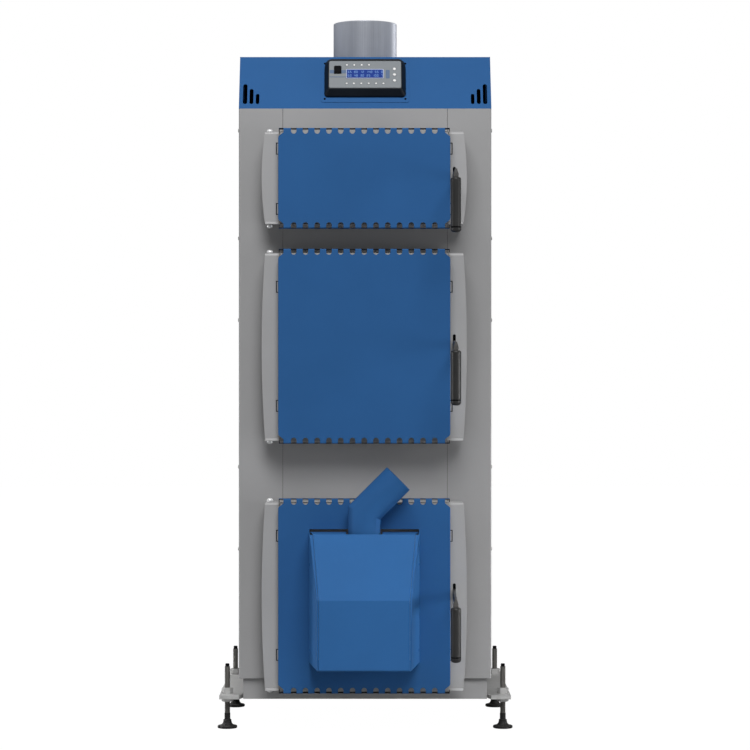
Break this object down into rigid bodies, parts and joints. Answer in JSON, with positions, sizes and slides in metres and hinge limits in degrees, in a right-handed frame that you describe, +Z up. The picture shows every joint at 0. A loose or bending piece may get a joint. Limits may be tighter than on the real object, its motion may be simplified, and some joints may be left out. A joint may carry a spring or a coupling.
{
  "type": "pellet boiler",
  "caption": "Free-standing pellet boiler with front doors, lift levers, a burner with pellet inlet on the lowest door, a sloped hood with controller, flue spigot and levelling feet.",
  "frame": {"origin": "on the floor, at the middle of the whole boiler's footprint, levers and pipe stubs included", "axes": "+X to the right of a person facing the doors, +Y from the doors to the back, +Z up"},
  "size_m": [0.707, 0.8232, 1.733],
  "materials": {
    "blue_paint": "satin powder coat, blue",
    "grey_casing": "satin powder coat, mid grey",
    "grey_tray": "satin powder coat, light grey",
    "zinc_steel": "bright zinc plating",
    "galvanised": "smooth galvanised sheet",
    "dark_steel": "black finished steel",
    "boiler_steel": "primed boiler plate",
    "frame_steel": "dark grey heat-proof paint",
    "insulation": "dry fibre board",
    "black_plastic": "moulded black plastic",
    "grey_plastic": "moulded light grey plastic"
  },
  "bodies": {
    "boiler": {"plinth": "grey_casing", "rail_left": "zinc_steel", "rail_right": "zinc_steel", "foot_front_left": "dark_steel", "foot_front_right": "dark_steel", "foot_rear_left": "dark_steel", "foot_rear_right": "dark_steel", "casing_left": "grey_casing", "casing_right": "grey_casing", "casing_back": "grey_casing", "front_panel": "grey_casing", "jacket_left": "boiler_steel", "jacket_right": "boiler_steel", "jacket_back": "boiler_steel", "deck_base": "boiler_steel", "deck_lower": "boiler_steel", "deck_upper": "boiler_steel", "deck_top": "boiler_steel", "door_frame_upper": "frame_steel", "door_frame_middle": "frame_steel", "door_frame_lower": "frame_steel", "hood": "blue_paint", "flue_spigot": "galvanised", "controller_plate": "blue_paint", "controller_housing": "black_plastic", "controller_face": "grey_plastic", "water_stubs": "boiler_steel"},
    "upper_door": {"tray_upper": "grey_tray", "cover_upper": "blue_paint", "plug_upper": "insulation", "hinge_pins_upper": "zinc_steel"},
    "middle_door": {"tray_middle": "grey_tray", "cover_middle": "blue_paint", "plug_middle": "insulation", "hinge_pins_middle": "zinc_steel"},
    "lower_door": {"tray_lower": "grey_tray", "cover_lower": "blue_paint", "plug_lower": "insulation", "hinge_pins_lower": "zinc_steel", "burner": "frame_steel", "burner_cover": "blue_paint", "pellet_inlet": "blue_paint"},
    "upper_lever": {"lever_upper": "dark_steel", "grip_upper": "black_plastic"},
    "middle_lever": {"lever_middle": "dark_steel", "grip_middle": "black_plastic"},
    "lower_lever": {"lever_lower": "dark_steel", "grip_lower": "black_plastic"}
  },
  "joints": [
    {"name": "upper_door_hinge", "type": "hinge", "parent": "boiler", "child": "upper_door", "pos_m": [-0.225, -0.1774, 1.3065], "axis": [0, 0, -1], "range_deg": [0, 100]},
    {"name": "upper_lever_pivot", "type": "hinge", "parent": "upper_door", "child": "upper_lever", "pos_m": [0.2095, -0.1814, 1.3065], "axis": [-1, 0, 0], "range_deg": [0, 22]},
    {"name": "middle_door_hinge", "type": "hinge", "parent": "boiler", "child": "middle_door", "pos_m": [-0.225, -0.1774, 0.913], "axis": [0, 0, -1], "range_deg": [0, 100]},
    {"name": "middle_lever_pivot", "type": "hinge", "parent": "middle_door", "child": "middle_lever", "pos_m": [0.2095, -0.1814, 0.913], "axis": [-1, 0, 0], "range_deg": [0, 22]},
    {"name": "lower_door_hinge", "type": "hinge", "parent": "boiler", "child": "lower_door", "pos_m": [-0.225, -0.1774, 0.328], "axis": [0, 0, -1], "range_deg": [0, 100]},
    {"name": "lower_lever_pivot", "type": "hinge", "parent": "lower_door", "child": "lower_lever", "pos_m": [0.2095, -0.1814, 0.328], "axis": [-1, 0, 0], "range_deg": [0, 22]}
  ]
}
